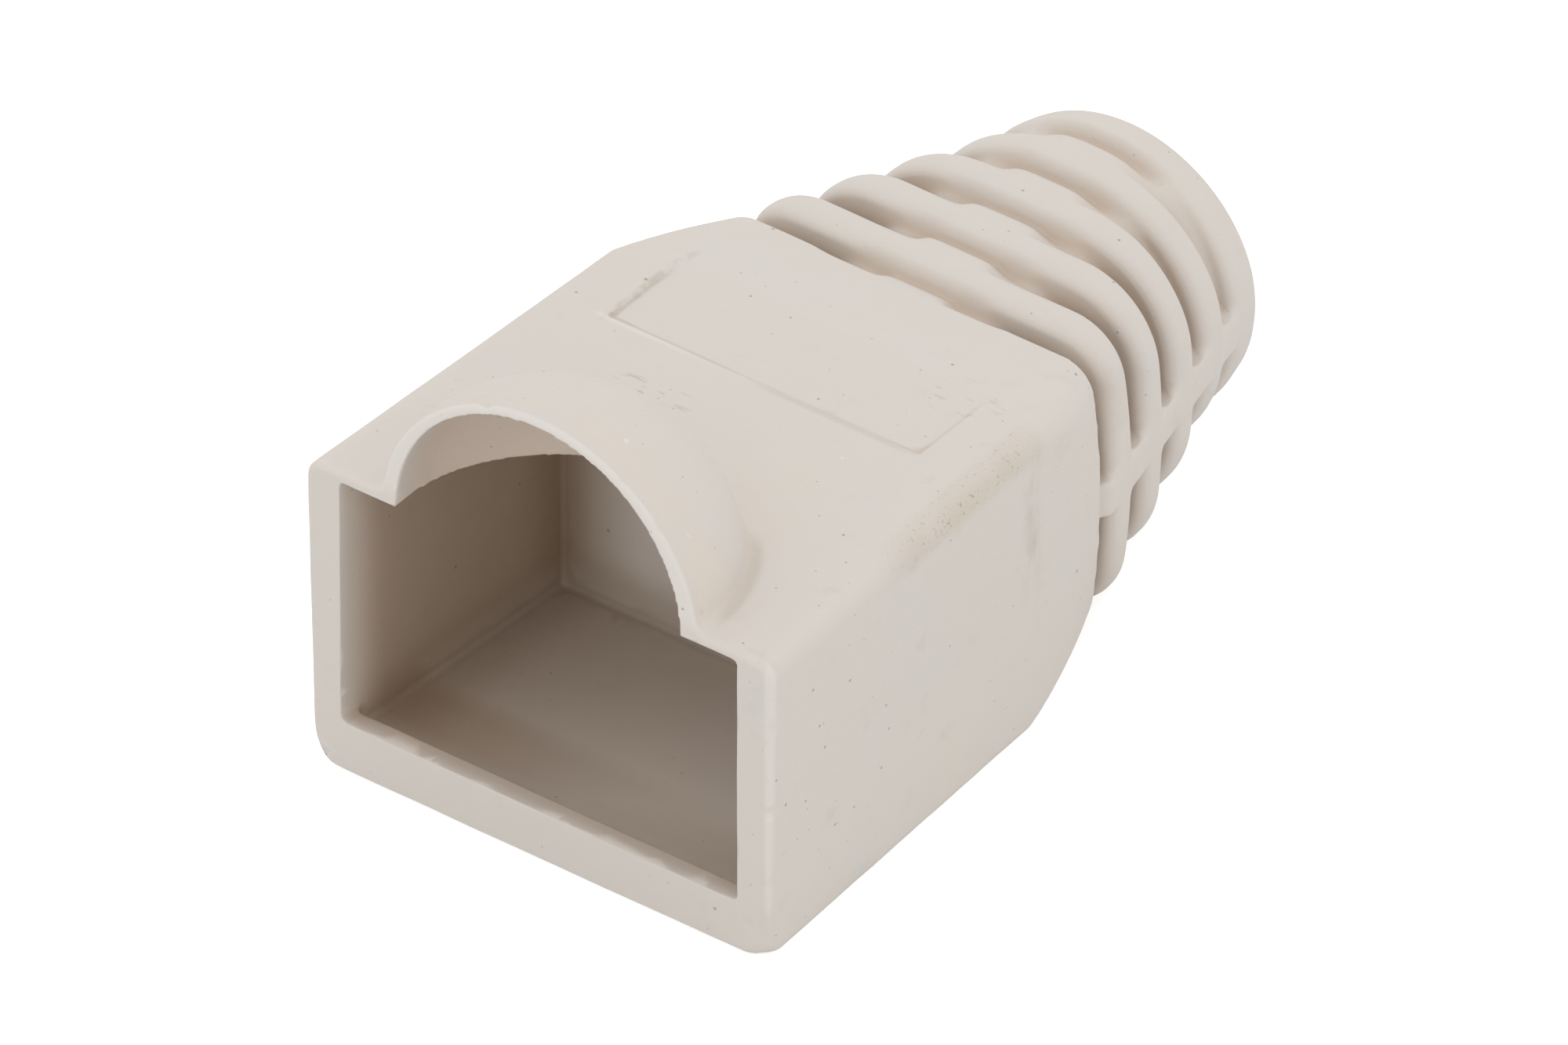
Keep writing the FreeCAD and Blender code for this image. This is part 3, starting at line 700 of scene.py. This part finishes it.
# %% Grime along the upper edge
FILM = colour(0.64, 0.54, 0.42)
GRIT = colour(0.36, 0.27, 0.18)
EDGE_HEIGHT = 8.62
edge_line = maths("SUBTRACT", SIDE_X, maths("MULTIPLY", along, 0.048))
from_edge = maths(
    "MAXIMUM",
    maths("ABSOLUTE", maths("SUBTRACT", across, edge_line)),
    maths("ABSOLUTE", maths("SUBTRACT", height, EDGE_HEIGHT)),
)
grime_place = both(ramp(from_edge, 0.62, 0.05), band(along, 8.3, 1.6, 2.4))
grime_cloud = ramp(noise(0.6, 2, 0.5, seed=5), 0.22, 0.58)
grime_grain = ramp(noise(9.0, 1, 0.5, seed=6), 0.62, 0.72)
paint = layer(paint, FILM, both(grime_place, grime_cloud, 0.45))
paint = layer(paint, GRIT, both(grime_place, grime_cloud, grime_grain, 0.5))
count("edge grime")

# %% A run of dirty water down the right wall, and faint smudges on it
WATER_STAIN = colour(0.52, 0.50, 0.39)
SMUDGE = colour(0.55, 0.53, 0.46)
run = both(band(along, 11.2, 0.05, 0.55), band(height, 6.3, 1.2, 1.9), ramp(across, 4.0, 4.5))
run_grain = ramp(noise(1.6, 4, 0.6, stretch=(1, 1, 2.0), seed=7), 0.38, 0.70)
paint = layer(paint, WATER_STAIN, both(run, run_grain, 0.38))
smudge = both(ramp(noise(0.8, 4, 0.6, seed=8), 0.58, 0.76), ramp(across, 4.0, 5.0))
paint = layer(paint, SMUDGE, both(smudge, 0.25))
count("run and smudges")


# %% Rub marks on the top
def rub(middle, half, strength, seed):
    """Short fine strokes across the boot, in an oval place on the top."""
    off_x = maths("DIVIDE", maths("SUBTRACT", across, middle[0]), half[0])
    off_y = maths("DIVIDE", maths("SUBTRACT", along, middle[1]), half[1])
    oval = maths("ADD", maths("POWER", off_x, 2), maths("POWER", off_y, 2))
    strokes = ramp(noise(4.5, 3, 0.6, stretch=(4, 1, 1), seed=seed), 0.56, 0.68)
    return both(ramp(oval, 1.0, 0.3), ramp(height, 8.6, 8.8), strokes, strength)


RUBBED = colour(0.42, 0.39, 0.35)
# The same brown serves for dust in a rub mark and for painted shade at the label recess.
DUST_AND_SHADE = colour(0.50, 0.44, 0.36)
paint = layer(paint, RUBBED, rub((-1.9, 7.15), (1.5, 0.5), 0.55, 9))
paint = layer(paint, RUBBED, rub((4.2, 11.5), (1.3, 1.0), 0.35, 10))
paint = layer(paint, DUST_AND_SHADE, rub((-5.0, 4.0), (1.2, 2.2), 0.30, 11))
count("rub marks")

# %% The label recess: a painted highlight along its front left edge, painted shade along the rest of its front edge, and painted shade with dust along its left edge
LABEL_FRONT = 8.95
LABEL_LEFT = -4.66
LABEL_FRONT_HIGHLIGHT = colour(0.86, 0.84, 0.77)
LABEL_FRONT_SHADE = colour(0.60, 0.53, 0.44)
front_line = both(band(along, LABEL_FRONT - 0.08, 0.02, 0.13), ramp(height, 8.7, 8.8))
at_left = both(front_line, ramp(across, -0.8, -3.8), ramp(across, -5.1, -4.8), 0.45)
# A painted highlight where the recess's front step catches the light.
paint = layer(paint, LABEL_FRONT_HIGHLIGHT, at_left)
paint = layer(paint, LABEL_FRONT_SHADE, both(front_line, band(across, 2.2, 1.6, 1.2), 0.40))
left_line = both(
    band(across, LABEL_LEFT, 0.03, 0.14), band(along, 10.6, 1.5, 0.6), ramp(height, 8.3, 8.5),
)
left_shade_grain = ramp(noise(2.2, 3, seed=12), 0.35, 0.6)
# Painted shade along the recess's left step, broken up with dust.
paint = layer(paint, DUST_AND_SHADE, both(left_line, left_shade_grain, 0.45))
count("label recess")

# %% [markdown]
# ## Specks moulded in
# Soft PVC is often run with some reground waste in it, which leaves dark specks and a few
# white ones in the skin. Noise can't give single round dots. A Voronoi texture can: it
# splits space into cells, each with its own random colour, and one dot fits in each cell.
# The colour also chooses the dot's size, down to none, so the specks don't look set out.


# %% Dots in the cells of a Voronoi texture
def specks(spacing, size, seed):
    """Small dots, at most one about each spacing and none over the size."""
    made = node("TexVoronoi")
    join(moved_by(place, (seed, 2 * seed, 3 * seed)), made.inputs["Vector"])
    join(1 / spacing, made.inputs["Scale"])
    chance = node("SeparateColor")
    join(made.outputs["Color"], chance.inputs[0])
    radius = ramp(chance.outputs[0], 0.1, 0.9, 0.0, size / spacing)
    share = maths("DIVIDE", made.outputs["Distance"], maths("MAXIMUM", radius, 0.001))
    return ramp(share, 1.0, 0.55)


DARK_SPECK = colour(0.15, 0.11, 0.08)
GREY_SPECK = colour(0.30, 0.27, 0.23)
WHITE_SPECK = colour(0.90, 0.89, 0.85)
paint = layer(paint, DARK_SPECK, both(specks(0.78, 0.060, 4.0), 0.5))
paint = layer(paint, GREY_SPECK, both(specks(0.42, 0.038, 7.0), 0.45))
paint = layer(paint, WHITE_SPECK, both(specks(1.9, 0.10, 11.0), 0.5))
join(paint, shader.inputs["Base Color"])
count("specks")

# %% [markdown]
# ## Sheen and touch
# Blasted steel leaves a fine even grain, and shrinkage leaves slow waves under it.
# Both are too shallow to model, so they are bumps: they turn the light and move nothing.
# The sheen wanders a little, as on any handled plastic, and raised edges are smoother.

# %% Sheen
sheen = ramp(noise(1.1, 4, 0.6, seed=13), 0.3, 0.7, 0.46, 0.60)
sheen = maths("SUBTRACT", sheen, both(ramp(raised, 0.012, 0.05), 0.08))
join(sheen, shader.inputs["Roughness"])
shader.inputs["Specular IOR Level"].default_value = 0.45
count("sheen")


# %% Grain over waves
def bump(pattern, strength, depth):
    """A Bump node that gives the pattern this depth in millimetres."""
    made = node("Bump")
    made.inputs["Strength"].default_value = strength
    made.inputs["Distance"].default_value = depth * MM
    join(pattern, made.inputs["Height"])
    return made


waves = bump(noise(0.9, 3, 0.5, seed=15), 0.5, 0.03)
grain = bump(noise(9.0, 4, 0.6, seed=14), 0.35, 0.006)
join(waves.outputs[0], grain.inputs["Normal"])
join(grain.outputs[0], shader.inputs["Normal"])
count("bumps")

# %% [markdown]
# ## Put the material on and set the piece in its frame
# The boot is one moulding, so one piece takes the place of the drawing's one node.
# It has no joint: it rides with the root body, wherever the part is put.

# %% Dress the moulding
skin.data.materials.clear()
skin.data.materials.append(plastic)
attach(skin, "root")
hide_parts("boot")
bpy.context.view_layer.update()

# %% [markdown]
# ## A white sweep under soft light
# A small pale product is shown on white paper, with light from all sides, so that its own soft
# shadows show its form. The paper takes the part's shadow where it stands.
# The paper is lifted to white for the camera alone, so no light is added to the part.

# %% Floor
bpy.ops.object.select_all(action="DESELECT")
bpy.ops.mesh.primitive_plane_add(size=2.0, location=(0, 0, 0))
floor = bpy.context.object
floor.name = "studio_floor"
print("floor", floor.name)

# %% White paper
paper = bpy.data.materials.new("white_paper")
paper.use_nodes = True
tree = paper.node_tree  # node() adds to this tree from here on
matte = tree.nodes["Principled BSDF"]
matte.inputs["Base Color"].default_value = colour(0.85, 0.85, 0.85)
matte.inputs["Roughness"].default_value = 1.0
matte.inputs["Emission Color"].default_value = colour(1, 1, 1)
seen = node("LightPath").outputs["Is Camera Ray"]
join(maths("MULTIPLY", seen, 0.6), matte.inputs["Emission Strength"])
floor.data.materials.append(paper)
print("floor", floor.name, "has", paper.name)

# %% World
world = bpy.data.worlds.new("studio")
bpy.context.scene.world = world
world.use_nodes = True
sky = world.node_tree.nodes["Background"]
sky.inputs["Color"].default_value = colour(1, 1, 1)
sky.inputs["Strength"].default_value = 0.9
print("world", world.name)

# %% [markdown]
# ## The camera
# The boot is seen from above its right front corner, through a long lens from far away, so
# its parallel edges stay parallel. Turning the camera by an azimuth and an elevation keeps
# the view easy to read: 37 degrees round from the mouth, and about as much above the floor.

# %% Which way the camera faces
AZIMUTH = math.radians(37.0)
ELEVATION = math.radians(36.62)
cos_azimuth, sin_azimuth = math.cos(AZIMUTH), math.sin(AZIMUTH)
cos_elevation, sin_elevation = math.cos(ELEVATION), math.sin(ELEVATION)
right = Vector((cos_azimuth, sin_azimuth, 0))
up = Vector((-sin_elevation * sin_azimuth, sin_elevation * cos_azimuth, cos_elevation))
back = right.cross(up)
print("from the boot to the camera:", [round(part, 3) for part in back])

# %% Camera
FRAME_WIDTH = 37.601 * MM
SENSOR = 36.0
DISTANCE = 1.0
AIM_RIGHT, AIM_UP = 5.834 * MM, 8.098 * MM  # from the foot of the mouth to the middle of the view
mouth_foot = Vector((0, (MOUTH_Y + 0.1) * MM, 0))
aim = mouth_foot + AIM_RIGHT * right + AIM_UP * up
bpy.ops.object.camera_add(location=aim + back * DISTANCE)
camera = bpy.context.object
camera.rotation_euler = back.to_track_quat("Z", "Y").to_euler()
camera.data.sensor_width = SENSOR
camera.data.lens = SENSOR * DISTANCE / FRAME_WIDTH
camera.data.clip_start = 0.1
camera.data.clip_end = 10
bpy.context.scene.camera = camera
bpy.context.scene.view_settings.view_transform = "Standard"
print("lens", round(camera.data.lens), "mm at", DISTANCE, "m")
